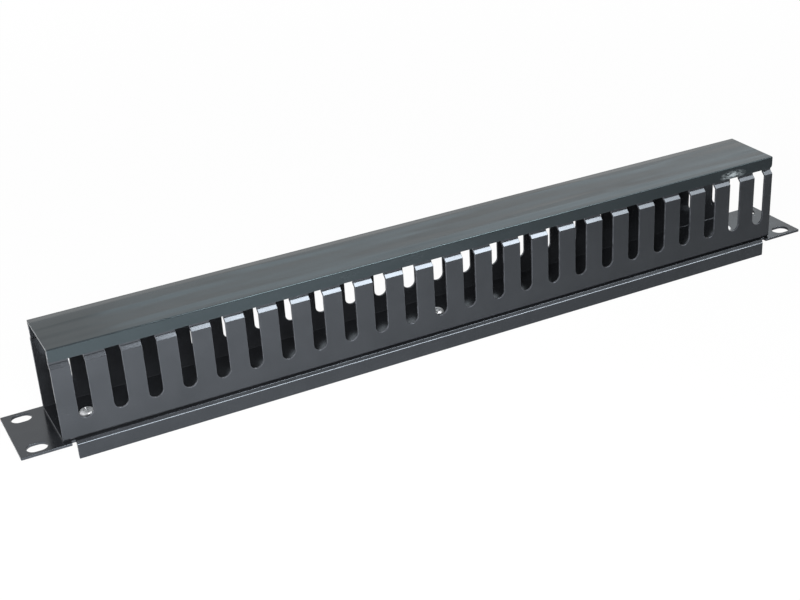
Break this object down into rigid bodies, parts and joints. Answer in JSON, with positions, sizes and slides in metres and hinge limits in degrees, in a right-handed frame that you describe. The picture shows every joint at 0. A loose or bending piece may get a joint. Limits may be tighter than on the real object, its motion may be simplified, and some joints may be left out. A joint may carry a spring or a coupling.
{
  "type": "horizontal cable manager",
  "caption": "Slotted sheet-metal duct with a lift-off cover, screwed to a one-unit rack panel with slotted ears, for leading patch cables across a rack.",
  "frame": {"origin": "centre of the four rack slots, on the rear face of the panel's ears, which meets the rack's rails", "axes": "+X along the panel's width, left to right as pictured; +Y across the panel, one rack unit high, away from the viewer; +Z the way the duct stands out towards the user, which is up while the part lies on its flanges"},
  "size_m": [0.4826, 0.0442, 0.0616],
  "materials": {
    "panel_powder_coat": "satin black powder coat",
    "duct_powder_coat": "satin black powder coat",
    "cover_powder_coat": "satin black powder coat",
    "zinc_plate": "bright zinc plate"
  },
  "bodies": {
    "manager": {"rack_panel": "panel_powder_coat", "slotted_duct": "duct_powder_coat", "duct_screw_left": "zinc_plate", "duct_screw_middle": "zinc_plate", "duct_screw_right": "zinc_plate", "duct_nut_left": "zinc_plate", "duct_nut_middle": "zinc_plate", "duct_nut_right": "zinc_plate"},
    "cover": {"duct_cover": "cover_powder_coat"}
  },
  "joints": [
    {"name": "cover_lift", "type": "slide", "parent": "manager", "child": "cover", "axis": [0, 0, 1], "range_m": [0, 0.03]}
  ]
}
